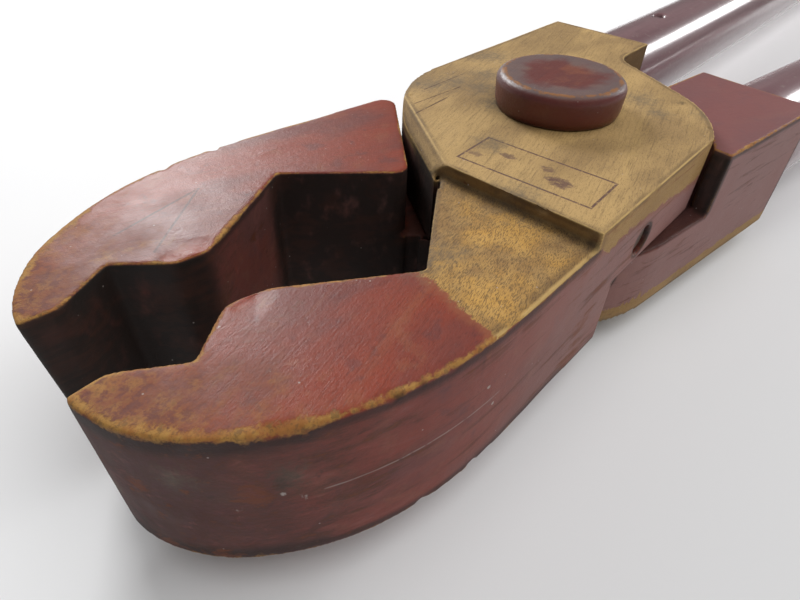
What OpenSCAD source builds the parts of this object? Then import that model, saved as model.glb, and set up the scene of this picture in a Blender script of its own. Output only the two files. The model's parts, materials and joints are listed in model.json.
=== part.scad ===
// Two-handed wooden gripping tongs: two crossed half-lapped levers on a turned wooden pivot,
// with two diamond-shaped mouths between the jaws and a long round tube on each arm.
// X runs from the pivot towards the jaws, Z runs along the pivot, and the origin lies on the
// pivot axis in the flat underside of the lower pivot head, which is the rest face.

/* [Levers] */
// Thickness of the jaws and arms
lever_thick = 40; // [36:1:46]
// Height of the raised cheek round the pivot
cheek_raise = 4; // [3:0.5:5]
// Distance from the pivot to the straight step across the cheek's front
cheek_front = 52.8; // [51:0.2:54]
// Radius of the hub on the side of the arm
hub_arm_r = 46.4; // [46:0.1:46.8]
// Radius of the hub behind the jaw
hub_back_r = 45.2; // [44:0.1:45.4]
// Distance from the centre line to the outside of the jaw
jaw_back_y = 43.2; // [42:0.2:44]
// Turn that each lever makes from closed to the rest pose
rest_turn = 4.1; // [1:0.1:8]
// Gap between the two lapped faces
lap_gap = 0.3; // [0.2:0.1:0.6]

/* [Jaws] */
// Distance from the pivot to the jaw tips
jaw_reach = 150.6; // [145:0.2:155]
// Distance from the pivot to the point where the jaw's back starts to curve
jaw_curve_start = 84; // [80:1:88]
// Slope of every face inside the mouths
mouth_slope = 35.5; // [34:0.5:37]
// Start of the large mouth
large_mouth_x = 56.2; // [56:0.1:57]
// Depth of the large mouth in each jaw
large_mouth_depth = 20.4; // [18:0.1:22]
// Depth of the small mouth in each jaw
small_mouth_depth = 8.3; // [7:0.1:9]
// Width of the blunt tooth between the mouths
tooth_w = 7.2; // [6:0.1:8]
// Gap that is left between the tips and between the teeth when the tongs are shut
shut_gap = 0.4; // [0.4:0.1:0.8]

/* [Arms] */
// Distance from the pivot to the end face of the arm
arm_reach = 80; // [78:1:84]
// Distance from the centre line to the inner side of the arm
arm_inner_y = 6; // [5:0.5:8]
// Length of the turned tenon inside the tube
tenon_length = 85; // [75:1:95]
// Radius of the tenon
tenon_r = 13.45; // [12.5:0.05:13.5]
// Distance from the centre line to the tube's axis
tube_y = 27.2; // [26.6:0.1:27.8]
// Outer radius of the tube
tube_r = 18.6; // [18:0.1:19]
// Inner radius of the tube
tube_bore_r = 13.5; // [13.5:0.05:14]
// Length of the tube
tube_length = 465; // [300:5:700]
// Distance from the pivot to the pin through the tube
tube_pin_x = 143.4; // [120:0.2:150]

/* [Pivot] */
// Radius of the pivot heads
head_r = 19; // [18:0.2:21]
// Height of the upper pivot head
upper_head_height = 9.9; // [8:0.1:11]
// Height of the lower pivot head
lower_head_height = 9.3; // [8:0.1:11]
// Rounding of the heads' rims
head_round = 2.8; // [1:0.2:4]
// Radius of the pivot's shank
shank_r = 13; // [11:0.5:13.5]
// Radius of the pivot's thinner foot inside the lower head
foot_r = 8; // [7:0.5:9]
// Distance from the pivot to the dowel across each hub
dowel_x = 22; // [20:0.5:24]
// Radius of the dowel
dowel_r = 4; // [3:0.5:4.5]

/* [Hidden] */
$fn = 64;

painted = "firebrick";
varnished = "rosybrown";
bare_wood = "burlywood";
sunk = 1.2;            // how far the dowels' ends lie below the surface
fit = 0.05;            // radial clearance round pins, pegs and the pivot
shoulder_gap = 1;      // clearance between a hub and the other lever's shoulder
recess_gap = 1.2;      // clearance between a hub and the other lever's arm
lap_angle = 34.8;      // direction of the wall where the two levers meet beside the hub
hub_flat_angle = 150;  // direction of the flat at the back of the hub
recess_angle = 144;    // direction of the flat in the recess that takes the other lever's hub
arm_front_x = -22;     // front wall of the full-thickness arm
kerf_w = 1.2;          // saw kerf that runs on past the start of the large mouth
kerf_length = 6;
chamfer_w = 2.8;       // chamfer on the cheek above the lap wall
plug_head = 6;         // thickness of the end plug's head
plug_spigot = 30;      // length of the end plug's spigot
pin_r = 2.8;           // radius of the pin through the tube
peg_r = 2.5;           // radius of the peg through the lower pivot head
dowel_z = 7;           // height of the dowel above the lap face
overlap = 4;           // how far the hub's outline runs into the jaw
end_inset = 0.3;       // how far the ends of the tube's pin lie inside its surface
peg_inset = 0.8;       // how far the ends of the lower head's peg lie inside its surface
corner_round = 4;      // rounding of the jaw's outer corner and of the start of the mouth
tooth_round = 6;       // rounding of the tooth's and the tip's corners
notch_round = 1;       // rounding of the bottoms of the mouths
throat_round = 10;     // rounding between the hub and the arm
plug_round = 3;        // rounding of the end plug's rim
fillet_steps = 5;
pin_sides = 32;

half_thick = lever_thick / 2;
lap_z = lower_head_height + cheek_raise + half_thick;
cheek_top_z = lap_z + half_thick + cheek_raise;
slope = tan(mouth_slope);
shut_y = shut_gap / 2;
large_mouth_bottom_x = large_mouth_x + large_mouth_depth / slope;
tooth_start_x = large_mouth_bottom_x + (large_mouth_depth - shut_y) / slope;
tooth_end_x = tooth_start_x + tooth_w;
small_mouth_bottom_x = tooth_end_x + (small_mouth_depth - shut_y) / slope;
tip_start_x = small_mouth_bottom_x + (small_mouth_depth - shut_y) / slope;
shoulder_r = hub_arm_r + shoulder_gap;
recess_r = hub_back_r + recess_gap;

// --- Plan outlines of one lever in its shut position, with its jaw on the +Y side ---

function polar(r, a) = r * [cos(a), sin(a)];
function arc(centre, r, from, to, steps) =
    [for (i = [0 : steps]) centre + polar(r, from + (to - from) * i / steps)];
function unit(v) = v / norm(v);
function heading(v) = atan2(v.y, v.x);

// The corner b of an outline, rounded between its neighbours a and c
function fillet(a, b, c, r) =
    let (u = unit(a - b),
         v = unit(c - b),
         half = acos(u * v) / 2,
         centre = b + unit(u + v) * r / sin(half),
         from = heading(b + u * r / tan(half) - centre),
         to = heading(b + v * r / tan(half) - centre),
         turn = (to - from + 540) % 360 - 180)
    arc(centre, r, from, from + turn, fillet_steps);

// Where the line at distance d in direction a crosses the height y, and the same for an x
function line_x(d, a, y) = (d - y * sin(a)) / cos(a);
function line_y(d, a, x) = (d - x * cos(a)) / sin(a);

// Where the line at distance d in direction a meets the first face of the large mouth
function mouth_corner(d, a) =
    let (x = (d + large_mouth_x * slope * sin(a)) / (cos(a) + slope * sin(a)))
    [x, (x - large_mouth_x) * slope];

function jaw_outline() =
    let (back = [line_x(shoulder_r, lap_angle, jaw_back_y), jaw_back_y],
         root = mouth_corner(shoulder_r, lap_angle),
         curve = [jaw_curve_start, jaw_back_y],
         bottom = [large_mouth_bottom_x, large_mouth_depth],
         tooth_a = [tooth_start_x, shut_y],
         tooth_b = [tooth_end_x, shut_y],
         small = [small_mouth_bottom_x, small_mouth_depth],
         tip_a = [tip_start_x, shut_y],
         tip_b = [jaw_reach, shut_y],
         reach = jaw_reach - jaw_curve_start)
    concat(
        fillet(root, back, curve, corner_round),
        [for (a = [90 : -5 : 5]) [jaw_curve_start + reach * cos(a),
                                  shut_y + (jaw_back_y - shut_y) * sin(a)]],
        [tip_b],
        fillet(tip_b, tip_a, small, tooth_round),
        fillet(tip_a, small, tooth_b, notch_round),
        fillet(small, tooth_b, tooth_a, tooth_round),
        fillet(tooth_b, tooth_a, bottom, tooth_round),
        fillet(tooth_a, bottom, root, notch_round),
        fillet(bottom, root, back, corner_round));

// The hub's edge from the lap wall round the arm to the side of the jaw
function hub_back() =
    let (throat = [-line_x(hub_back_r, 180 - hub_flat_angle, -arm_inner_y), -arm_inner_y],
         back = polar(hub_back_r, hub_flat_angle),
         side_angle = 180 - asin(jaw_back_y / hub_back_r),
         arm_end = [-arm_reach, -arm_inner_y])
    concat(
        arc([0, 0], hub_arm_r, -lap_angle, -90, 12),
        [[-arm_reach, -hub_arm_r], arm_end],
        fillet(arm_end, throat, back, throat_round),
        arc([0, 0], hub_back_r, hub_flat_angle, side_angle, 12));

function hub_outline() =
    let (root = mouth_corner(hub_arm_r, -lap_angle),
         inside_x = root.x + overlap)
    concat(hub_back(),
           [[inside_x, jaw_back_y], [inside_x, (inside_x - large_mouth_x) * slope], root]);

function cheek_outline() =
    concat(hub_back(),
           [[cheek_front, jaw_back_y], [cheek_front, line_y(hub_arm_r, -lap_angle, cheek_front)]]);

function arm_outline() =
    let (wall_angle = -acos(arm_front_x / recess_r))
    concat(
        arc([0, 0], recess_r, wall_angle, -recess_angle, 6),
        [[-line_x(recess_r, 180 - recess_angle, arm_inner_y), -arm_inner_y],
         [-arm_reach, -arm_inner_y],
         [-arm_reach, -hub_arm_r],
         [arm_front_x, -hub_arm_r]]);

// --- One lever and its fittings, with z = 0 in the lap face ---

module slab(z, height, outline) {
    translate([0, 0, z]) linear_extrude(height) polygon(outline);
}

// A round bar along -X from x, at the tube's place
module bar(x, length, r) {
    translate([x, -tube_y, 0]) rotate([0, -90, 0]) cylinder(r = r, h = length);
}

// An upright bar through the tube at its pin
module cross_bar(r, length) {
    translate([-tube_pin_x, -tube_y, -length / 2]) cylinder(r = r, h = length, $fn = pin_sides);
}

module cheek_chamfer() {
    foot = [0, -cheek_raise];
    brow = [-chamfer_w, 0];
    rotate([0, 0, -lap_angle])
        translate([hub_arm_r, 0, half_thick + cheek_raise])
            rotate([90, 0, 0])
                linear_extrude(3 * cheek_front, center = true)
                    polygon([brow, foot, foot + [1, 0], [1, 1], brow + [0, 1]]);
}

// The kerf carries the large mouth's first face on into the hub
module kerf() {
    root = mouth_corner(hub_arm_r, -lap_angle);
    translate([root.x, root.y, 0])
        rotate([0, 0, mouth_slope])
            translate([-kerf_length, -kerf_w / 2, -1])
                cube([kerf_length + 1, kerf_w, half_thick + 1]);
}

module lever() {
    color(painted)
        difference() {
            union() {
                slab(-half_thick, lever_thick, jaw_outline());
                slab(-half_thick, lever_thick, arm_outline());
                slab(lap_gap / 2, half_thick - lap_gap / 2, hub_outline());
                difference() {
                    slab(half_thick - 1, cheek_raise + 1, cheek_outline());
                    intersection() {
                        cheek_chamfer();
                        translate([0, -cheek_front, half_thick]) cube([2 * cheek_front, 2 * cheek_front, 10]);
                    }
                }
                bar(-arm_reach + 1, tenon_length + 1, tenon_r);
            }
            kerf();
            translate([0, 0, -1]) cylinder(r = shank_r + fit, h = lever_thick);
            translate([dowel_x, 0, dowel_z])
                rotate([90, 0, 0]) cylinder(r = dowel_r + fit, h = 3 * hub_arm_r, center = true);
            cross_bar(pin_r + fit, lever_thick);
        }
}

module dowel() {
    far_y = -sqrt(hub_arm_r * hub_arm_r - dowel_x * dowel_x);
    color(bare_wood)
        translate([dowel_x, far_y + sunk, dowel_z])
            rotate([-90, 0, 0]) cylinder(r = dowel_r, h = jaw_back_y - far_y - 2 * sunk);
}

module handle_tube() {
    color(varnished)
        difference() {
            bar(-arm_reach, tube_length, tube_r);
            bar(-arm_reach + 1, tube_length + 2, tube_bore_r);
            cross_bar(pin_r + fit, lever_thick);
        }
}

module handle_pin() {
    color(bare_wood) cross_bar(pin_r, 2 * (tube_r - end_inset));
}

module end_plug() {
    color(painted)
        translate([-arm_reach - tube_length, -tube_y, 0])
            rotate([0, -90, 0])
                rotate_extrude()
                    polygon(concat([[0, -plug_spigot], [tenon_r, -plug_spigot], [tenon_r, 0], [tube_r, 0]],
                                   arc([tube_r - plug_round, plug_head - plug_round], plug_round, 0, 90, 6),
                                   [[0, plug_head]]));
}

// --- Placing: the upper lever opens one way, the lower one is the same part turned over ---

module upper() {
    translate([0, 0, lap_z]) rotate([0, 0, rest_turn]) children();
}

module lower() {
    translate([0, 0, lap_z]) rotate([0, 0, -rest_turn]) rotate([180, 0, 0]) children();
}

module upper_lever() { upper() lever(); }
module lower_lever() { lower() lever(); }
module upper_hub_dowel() { upper() dowel(); }
module lower_hub_dowel() { lower() dowel(); }
module upper_handle_tube() { upper() handle_tube(); }
module lower_handle_tube() { lower() handle_tube(); }
module upper_handle_pin() { upper() handle_pin(); }
module lower_handle_pin() { lower() handle_pin(); }
module upper_end_plug() { upper() end_plug(); }
module lower_end_plug() { lower() end_plug(); }

// A hole along Y for the peg that holds the lower head on the pivot's foot
module peg_bar(r, length) {
    translate([0, 0, lower_head_height / 2])
        rotate([90, 0, 0])
            cylinder(r = r, h = length, center = true, $fn = pin_sides);
}

module pivot_pin() {
    seat_z = lower_head_height;
    top_z = cheek_top_z + upper_head_height;
    color(painted)
        difference() {
            rotate_extrude()
                polygon(concat(
                    [[0, 0], [foot_r, 0], [foot_r, seat_z], [shank_r, seat_z], [shank_r, cheek_top_z],
                     [head_r, cheek_top_z]],
                    arc([head_r - head_round, top_z - head_round], head_round, 0, 90, 6),
                    [[0, top_z]]));
            peg_bar(peg_r + fit, 3 * foot_r);
        }
}

module lower_pivot_head() {
    top_z = lower_head_height - lap_gap;
    color(painted)
        difference() {
            rotate_extrude()
                polygon(concat(
                    [[foot_r + fit, 0]],
                    arc([head_r - head_round, head_round], head_round, -90, 0, 6),
                    [[head_r, top_z], [foot_r + fit, top_z]]));
            peg_bar(peg_r + fit, 3 * head_r);
        }
}

module lower_head_peg() {
    color(bare_wood) peg_bar(peg_r, 2 * (head_r - peg_inset));
}

upper_lever();
lower_lever();
pivot_pin();
lower_pivot_head();
lower_head_peg();
upper_hub_dowel();
lower_hub_dowel();
upper_handle_tube();
lower_handle_tube();
upper_handle_pin();
lower_handle_pin();
upper_end_plug();
lower_end_plug();
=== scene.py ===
"""Looks of the two-handed wooden gripping tongs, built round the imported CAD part.

Each lever is described in its own frame, in millimetres: x runs from the pivot to the jaw tips,
y towards the outside of the jaw, z towards the cheek, and the origin is on the pivot in the lap face.
"""
import json
import math
import random

import bmesh
import bpy
import numpy as np
from mathutils import Matrix, Vector, kdtree, noise


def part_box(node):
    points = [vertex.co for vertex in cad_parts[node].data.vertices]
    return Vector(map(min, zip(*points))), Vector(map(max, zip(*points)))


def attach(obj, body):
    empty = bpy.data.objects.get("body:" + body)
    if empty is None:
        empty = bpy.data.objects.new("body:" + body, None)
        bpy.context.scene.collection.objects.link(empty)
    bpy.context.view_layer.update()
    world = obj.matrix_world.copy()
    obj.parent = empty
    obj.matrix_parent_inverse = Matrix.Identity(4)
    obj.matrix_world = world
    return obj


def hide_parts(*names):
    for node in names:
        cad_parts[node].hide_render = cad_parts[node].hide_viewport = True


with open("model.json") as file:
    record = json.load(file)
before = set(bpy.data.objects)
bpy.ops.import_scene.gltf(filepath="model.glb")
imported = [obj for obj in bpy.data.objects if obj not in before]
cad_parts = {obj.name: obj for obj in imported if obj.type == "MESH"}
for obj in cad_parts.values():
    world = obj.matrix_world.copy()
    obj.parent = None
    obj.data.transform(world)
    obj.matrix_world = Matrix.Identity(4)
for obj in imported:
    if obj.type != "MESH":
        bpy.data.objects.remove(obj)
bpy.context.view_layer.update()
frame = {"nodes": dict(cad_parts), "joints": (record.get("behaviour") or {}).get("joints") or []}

MM = 0.001
REST_TURN = math.radians(4.1)
LAP_Z = frame["joints"][0]["pos_m"][2]

# Plan of one lever, in its own frame
HALF_THICK = 20.0
JAW_REACH = 150.6
CURVE_START = 84.0
BACK_Y = 43.2
CHEEK_FRONT = 52.8
HUB_ARM_R = 46.4
ARM_END = 80.0
TUBE_Y = 27.2
TUBE_LENGTH = 465.0
TUBE_PIN_X = 143.4
DOWEL_X = 22.0
DOWEL_Z = 7.0
LAP_ANGLE = math.radians(34.8)
GRAIN_TURN = math.radians(-15)
PAINT_BORDER_X = 86.2
ARM_START_X = -20
MOUTH_START_X = 60
MOUTH_SLOPE_X = 92
TIP_WEAR_X = 128
TIP_END_X = 142

# Turned pieces: radii, and what the long ones measure
HEAD_R = 19.0
SHANK_R = 13.0
FOOT_R = 8.0
FOOT_HOLE_R = 8.05
UPPER_HEAD_HEIGHT = 9.9
LOWER_HEAD_HEIGHT = 9.3
UPPER_HEAD_ROUND = 2.8
LOWER_HEAD_ROUND = 2.4
TUBE_R = 18.6
TUBE_BORE_R = 13.5
SPIGOT_R = 13.45
SPIGOT_LENGTH = 30.0
PLUG_HEAD = 6.0
PLUG_ROUND = 3.2
DOWEL_R = 4.0
DOWEL_SUNK = 1.2
TUBE_PIN_R = 2.8
TUBE_PIN_LENGTH = 33.4
HEAD_PEG_R = 2.5
HEAD_PEG_LENGTH = 36.2

# Camera close above the jaw tips
CAMERA_AT = (0.1540, 0.0893, 0.1268)
CAMERA_TARGET = (0.0936, 0.0297, 0.0530)
CAMERA_ROLL = math.radians(2.4)
CAMERA_SENSOR = 36.0
CAMERA_LENS = 26.12

# Direction of the brightest part of the room
ROOM_GLOW = (-0.10, -0.90, 0.42)

# Quality of the remeshed levers
VOXEL = 0.6
KEEP_FACES = 0.42
SOFTEN_STEPS = 5
WEAR_STEPS = 14

scene = bpy.context.scene


# ---------------------------------------------------------------- frames

def lever_frame(side):
    """Matrix from a lever's own millimetres to metres in the shared frame.

    The lower lever is the same part turned over.
    """
    turn = Matrix.Rotation(REST_TURN * side, 4, "Z")
    over = Matrix.Identity(4) if side > 0 else Matrix.Rotation(math.pi, 4, "X")
    return Matrix.Translation((0, 0, LAP_Z)) @ turn @ over @ Matrix.Scale(MM, 4)


SIDES = {"upper": lever_frame(1), "lower": lever_frame(-1)}
BODIES = {"upper": "upper_half", "lower": "lower_half"}


def place(obj, matrix, body, slot, *nodes):
    """Moves the mesh to its place and makes it stand for its CAD nodes."""
    obj.data.transform(matrix)
    obj.data.update()
    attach(obj, body)
    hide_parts(*nodes)
    return obj


def new_object(name, mesh):
    obj = bpy.data.objects.new(name, mesh)
    scene.collection.objects.link(obj)
    return obj


def bake_modifiers(obj):
    """Applies every modifier of the object."""
    graph = bpy.context.evaluated_depsgraph_get()
    made = bpy.data.meshes.new_from_object(obj.evaluated_get(graph))
    obj.modifiers.clear()
    old = obj.data
    obj.data = made
    bpy.data.meshes.remove(old)


def points_of(mesh):
    flat = np.zeros(len(mesh.vertices) * 3, np.float32)
    mesh.vertices.foreach_get("co", flat)
    return flat.reshape(-1, 3).astype(float)


def normals_of(mesh):
    flat = np.zeros(len(mesh.vertices) * 3, np.float32)
    mesh.vertex_normals.foreach_get("vector", flat)
    return flat.reshape(-1, 3).astype(float)


def set_points(mesh, points):
    mesh.vertices.foreach_set("co", points.astype(np.float32).ravel())
    mesh.update()


def store(mesh, name, values):
    """Keeps one number or one vector for each vertex, for the materials to read."""
    kind = "FLOAT_VECTOR" if values.ndim == 2 else "FLOAT"
    key = "vector" if values.ndim == 2 else "value"
    layer = mesh.attributes.new(name, kind, "POINT")
    layer.data.foreach_set(key, values.astype(np.float32).ravel())


def ramp(x, low, high):
    """0 below low, 1 above high, smooth between."""
    t = np.clip((x - low) / (high - low), 0, 1)
    return t * t * (3 - 2 * t)


def waves(points, size, seed):
    """Smooth noise from -1 to 1 at each point, with features about that size."""
    shift = Vector((17.3 * seed, 5.1 * seed, 9.7 * seed))
    return np.array([noise.noise(Vector(p) / size + shift) for p in points])


# ---------------------------------------------------------------- levers

def on_outer_side(p):
    """1 on the outside of the jaw and hub, 0 inside the mouths, from the plan outline."""
    reach = JAW_REACH - CURVE_START
    curved = np.hypot((p[:, 0] - CURVE_START) / reach, p[:, 1] / BACK_Y)
    return np.where(p[:, 0] > CURVE_START, curved, p[:, 1] / BACK_Y)


def sharp_edges(mesh):
    """Points every half millimetre along the mesh's convex edges."""
    bm = bmesh.new()
    bm.from_mesh(mesh)
    found = []
    for e in bm.edges:
        if len(e.link_faces) == 2 and e.calc_face_angle_signed(0) > math.radians(25):
            a, b = (np.array(v.co) for v in e.verts)
            steps = max(2, int(np.linalg.norm(b - a) / 0.5))
            found.append(a + (b - a) * np.linspace(0, 1, steps)[:, None])
    bm.free()
    return np.concatenate(found)


def wear_widths(edges):
    """How far the wear reaches from each edge point, by where the edge is."""
    x, z = edges[:, 0], edges[:, 2]
    flat_rim = np.abs(z) > HALF_THICK - 0.5
    outer = on_outer_side(edges) > 0.985
    width = np.full(len(edges), 1.0)
    width[flat_rim & (x > MOUTH_SLOPE_X) & ~outer] = 1.5
    width[flat_rim & (x > CHEEK_FRONT) & outer] = 2.0
    width[flat_rim & (x > TIP_WEAR_X) & outer] = 3.2
    width[~flat_rim & (x > MOUTH_START_X)] = 1.6
    width[~flat_rim & (x > TIP_END_X)] = 1.2
    width[x < ARM_START_X] = 1.3
    width[np.abs(z) < 1] = 0.6
    return width


def nearest_wear(points, edges, widths):
    """1 on a worn edge, falling to 0 at its wear width and to -1 further away."""
    best = np.full(len(points), -1.0)
    for width in np.unique(widths):
        chosen = edges[widths == width]
        tree = kdtree.KDTree(len(chosen))
        for i, c in enumerate(chosen):
            tree.insert(c, i)
        tree.balance()
        far = np.array([tree.find(p)[2] for p in points])
        best = np.maximum(best, 1 - far / width)
    return best


def add_smooth(obj, steps, group=None):
    smooth = obj.modifiers.new("smooth", "SMOOTH")
    smooth.factor = 0.5
    smooth.iterations = steps
    if group:
        smooth.vertex_group = group


def weight_group(obj, name, weights):
    group = obj.vertex_groups.new(name=name)
    levels = np.round(np.clip(weights, 0, 1) * 20).astype(int)
    for level in range(1, 21):
        members = np.nonzero(levels == level)[0].tolist()
        if members:
            group.add(members, level / 20, "REPLACE")


def worn_lever_mesh(name, source, to_lever):
    """The CAD lever as one fine mesh in its own frame, with softened and worn edges."""
    mesh = source.data.copy()
    mesh.transform(to_lever)
    bm = bmesh.new()
    bm.from_mesh(mesh)
    bmesh.ops.remove_doubles(bm, verts=bm.verts, dist=0.002)
    bm.to_mesh(mesh)
    bm.free()
    edges = sharp_edges(mesh)
    widths = wear_widths(edges)
    obj = new_object(name, mesh)
    remesh = obj.modifiers.new("remesh", "REMESH")
    remesh.mode = "VOXEL"
    remesh.voxel_size = VOXEL
    bake_modifiers(obj)
    add_smooth(obj, SOFTEN_STEPS)
    bake_modifiers(obj)
    p = points_of(obj.data)
    worn = nearest_wear(p, edges[widths > 1.5], widths[widths > 1.5])
    weight_group(obj, "worn", ramp(worn, -0.2, 0.6) * (0.55 + 0.6 * waves(p, 9, 3)))
    add_smooth(obj, WEAR_STEPS, "worn")
    bake_modifiers(obj)
    fewer = obj.modifiers.new("fewer", "DECIMATE")
    fewer.ratio = KEEP_FACES
    bake_modifiers(obj)
    return obj, edges, widths


# How far the foot of each jaw tip has worn back, towards which face that foot lies, and over what stretch
TIP_LEAN = {"upper": (1.0, -1), "lower": (3.0, 1)}
TIP_LEAN_X = (110, 150)

# Heights of the surfaces that the dents and stains lie on: visible jaw top, cheek, and turned-over jaw top
TOP, CHEEK, UNDER = HALF_THICK, 24.0, -HALF_THICK

# The tooth between the two mouths, and the length of the worn tip
TOOTH_X = 116.0
TIP_LENGTH = 22.0


def on_wall(x, z):
    """The point of the jaw's outer wall at that distance from the pivot."""
    past = max(0.0, (x - CURVE_START) / (JAW_REACH - CURVE_START))
    return (x, BACK_Y * math.sqrt(1 - min(past, 1.0) ** 2), z)


def face_marks(seed, count, x, y, z, radius, strength):
    """Marks of use at random places on a face, within the given spans: place, radius and strength."""
    draw = random.Random(seed)
    return [((draw.uniform(*x), draw.uniform(*y), z), draw.uniform(*radius), strength) for _ in range(count)]


def wall_marks(seed, count, x, z, radius, strength):
    """The same along the jaw's outer wall."""
    draw = random.Random(seed)
    return [(on_wall(draw.uniform(*x), draw.uniform(*z)), draw.uniform(*radius), strength)
            for _ in range(count)]


# Spans of the lever's regions, each from and to
TIP_X = (JAW_REACH - TIP_LENGTH, JAW_REACH)
TIP_Y = (0, BACK_Y / 2)
JAW_X = (CHEEK_FRONT + 35, JAW_REACH - 6)
JAW_Y = (4, BACK_Y - 12)
HUB_X = (-ARM_END / 2, CHEEK_FRONT)
HUB_Y = (-BACK_Y, BACK_Y)
WALL_X = (20, JAW_REACH - 8)
WALL_Z = (-HALF_THICK, HALF_THICK)
TOOTH_XS = (TOOTH_X - 4, TOOTH_X + 5)
TOOTH_Y = (0, 3)
RAMP_X = (CHEEK_FRONT + 18, CHEEK_FRONT + 32)
RAMP_Y = (14, 28)

# Dents and chips: the tooth's corners, the outer rims, the step's edge and the tips
DENTS = [
    *face_marks(1, 3, TOOTH_XS, TOOTH_Y, TOP, (2.5, 4), 0.35),
    *face_marks(2, 2, TOOTH_XS, TOOTH_Y, UNDER, (3, 4), 0.3),
    *face_marks(3, 2, TOOTH_XS, TOOTH_Y, 5, (2.5, 3.5), 0.3),
    *face_marks(4, 2, TIP_X, TOOTH_Y, TOP, (2, 3), 0.35),
    *face_marks(5, 3, (CHEEK_FRONT, CHEEK_FRONT), (0, 38), CHEEK, (2, 2.6), 0.4),
    *wall_marks(6, 5, JAW_X, (HALF_THICK, HALF_THICK), (1.6, 3), 0.45),
    *wall_marks(7, 3, JAW_X, (-HALF_THICK, -HALF_THICK), (2, 3), 0.45),
    *face_marks(8, 5, HUB_X, HUB_Y, CHEEK, (1.2, 1.6), 0.45),
]

# Stains by colour, and painted shade in the dowel's recess
STAINS = {
    "dark": [
        # Painted shade in the dowel's recess and round its rim
        ((DOWEL_X, BACK_Y, DOWEL_Z), 6, 2.6),
        *face_marks(11, 5, HUB_X, HUB_Y, CHEEK, (1.6, 3.5), 0.8),
        *face_marks(12, 5, JAW_X, JAW_Y, UNDER, (1.2, 2), 0.8),
        *face_marks(13, 3, TOOTH_XS, TOOTH_Y, TOP, (2, 3), 0.7),
        *wall_marks(14, 5, JAW_X, (0, 14), (1.2, 1.8), 0.8),
        *wall_marks(15, 2, TIP_X, (-12, 6), (8, 10), 0.6),
        *wall_marks(16, 2, JAW_X, (19, 20), (1.7, 2.4), 1.0),
    ],
    "grey": [
        *face_marks(21, 14, HUB_X, HUB_Y, CHEEK, (6, 13), 0.7),
        *face_marks(22, 3, RAMP_X, RAMP_Y, TOP, (8, 12), 0.7),
        *face_marks(23, 2, TOOTH_XS, (8, 14), TOP, (4, 6), 0.7),
        *wall_marks(24, 3, TIP_X, (-8, 12), (6, 7), 0.7),
    ],
    "orange": [
        *face_marks(31, 4, TIP_X, TIP_Y, TOP, (4, 6), 0.9),
        *face_marks(32, 4, TIP_X, TIP_Y, UNDER, (4, 6), 0.8),
        *face_marks(33, 2, TOOTH_XS, (2, 8), TOP, (4, 4.5), 0.8),
        *face_marks(34, 2, TOOTH_XS, (2, 10), UNDER, (4, 4.5), 0.8),
        *face_marks(35, 2, TOOTH_XS, TOOTH_Y, -8, (3, 4.5), 0.9),
        *wall_marks(36, 2, TIP_X, (0, 4), (4, 5.5), 1.2),
        *wall_marks(37, 5, (20, 64), WALL_Z, (5, 9), 0.7),
    ],
    "pale": [
        *wall_marks(41, 4, WALL_X, (-8, 10), (0.6, 1.2), 1.0),
        *face_marks(42, 2, JAW_X, JAW_Y, TOP, (0.7, 0.9), 0.9),
        *wall_marks(43, 3, TIP_X, (-14, 6), (2.2, 2.6), 0.4),
    ],
}


def press_dents(points, normals):
    """Pushes the surface in at each dent, never out."""
    moved = points.copy()
    for i, (centre, radius, depth) in enumerate(DENTS):
        off = points - np.array(centre, float)
        near = np.nonzero(np.linalg.norm(off, axis=1) < radius * 1.6)[0]
        if not len(near):
            continue
        size = radius * (1 + 0.35 * waves(points[near], radius * 0.8, 20 + i))
        fall = 1 - ramp(np.linalg.norm(off[near], axis=1) / size, 0.1, 1.0)
        moved[near] -= normals[near] * (depth * fall)[:, None]
    return moved


def stain_field(p, spots):
    """Strength of the strongest stain at each point, falling to 0 at its radius."""
    field = np.zeros(len(p))
    for centre, radius, strength in spots:
        far = np.linalg.norm(p - np.array(centre, float), axis=1)
        field = np.maximum(field, strength * (1 - far / radius))
    return field


def bare_distance(p):
    """Signed distance into the unpainted wood in front of the cheek and on it."""
    x, y, z = p.T
    ahead = PAINT_BORDER_X + 0.22 * (y - 20) - x
    above = z - 17.5
    # On the outer wall the border climbs towards the jaw, and on the other wall it follows the cheek's rim
    above = np.where(y > BACK_Y - 0.5, z - 15.5 - 0.11 * (x - 20), above)
    above = np.where(y < 0.5 - BACK_Y, z - 23.9, above)
    return np.minimum(ahead, above + 20 * ramp(z, 19.2, 19.9))


def recess_shade_and_dirt(p, n):
    """Painted shade, with some dirt, in the mouths, on the lapped walls and in the pocket between hub and
    arm.
    """
    x, y, z = p.T
    wall = ramp(1 - np.abs(n[:, 2]), 0.3, 0.7)
    low = 1 - ramp(z, HALF_THICK - 0.6, HALF_THICK + 0.6)
    tip_inside = (x > 130) * ramp(-n[:, 1], 0.3, 0.7)
    inner = np.maximum(ramp(1 - on_outer_side(p), 0.03, 0.08), tip_inside)
    fainter_slope = ramp(x, MOUTH_SLOPE_X - 5, MOUTH_SLOPE_X) * (1 - ramp(x, TOOTH_X - 6, TOOTH_X - 1))
    mouths = wall * low * inner * ramp(x, 40, 46) * (1 - 0.5 * fainter_slope)
    faces_jaw = n[:, 0] * math.cos(LAP_ANGLE) - n[:, 1] * math.sin(LAP_ANGLE) > 0.85
    lap_wall = faces_jaw * (x > 20) * (1 - ramp(z, 9.0, 20.5))
    arm_inside = (n[:, 1] > 0.6) * (x < -28) * (y < 0) * 0.45
    pocket = (n[:, 0] > 0.6) * (x < 0) * (y < -8) * (1 - ramp(np.abs(z), 18.0, 19.5))
    lap_face = (np.abs(z) < 1.0) * (1 - wall)
    return np.maximum.reduce([mouths, lap_wall, pocket * 0.95, lap_face * 0.8, arm_inside])


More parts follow.
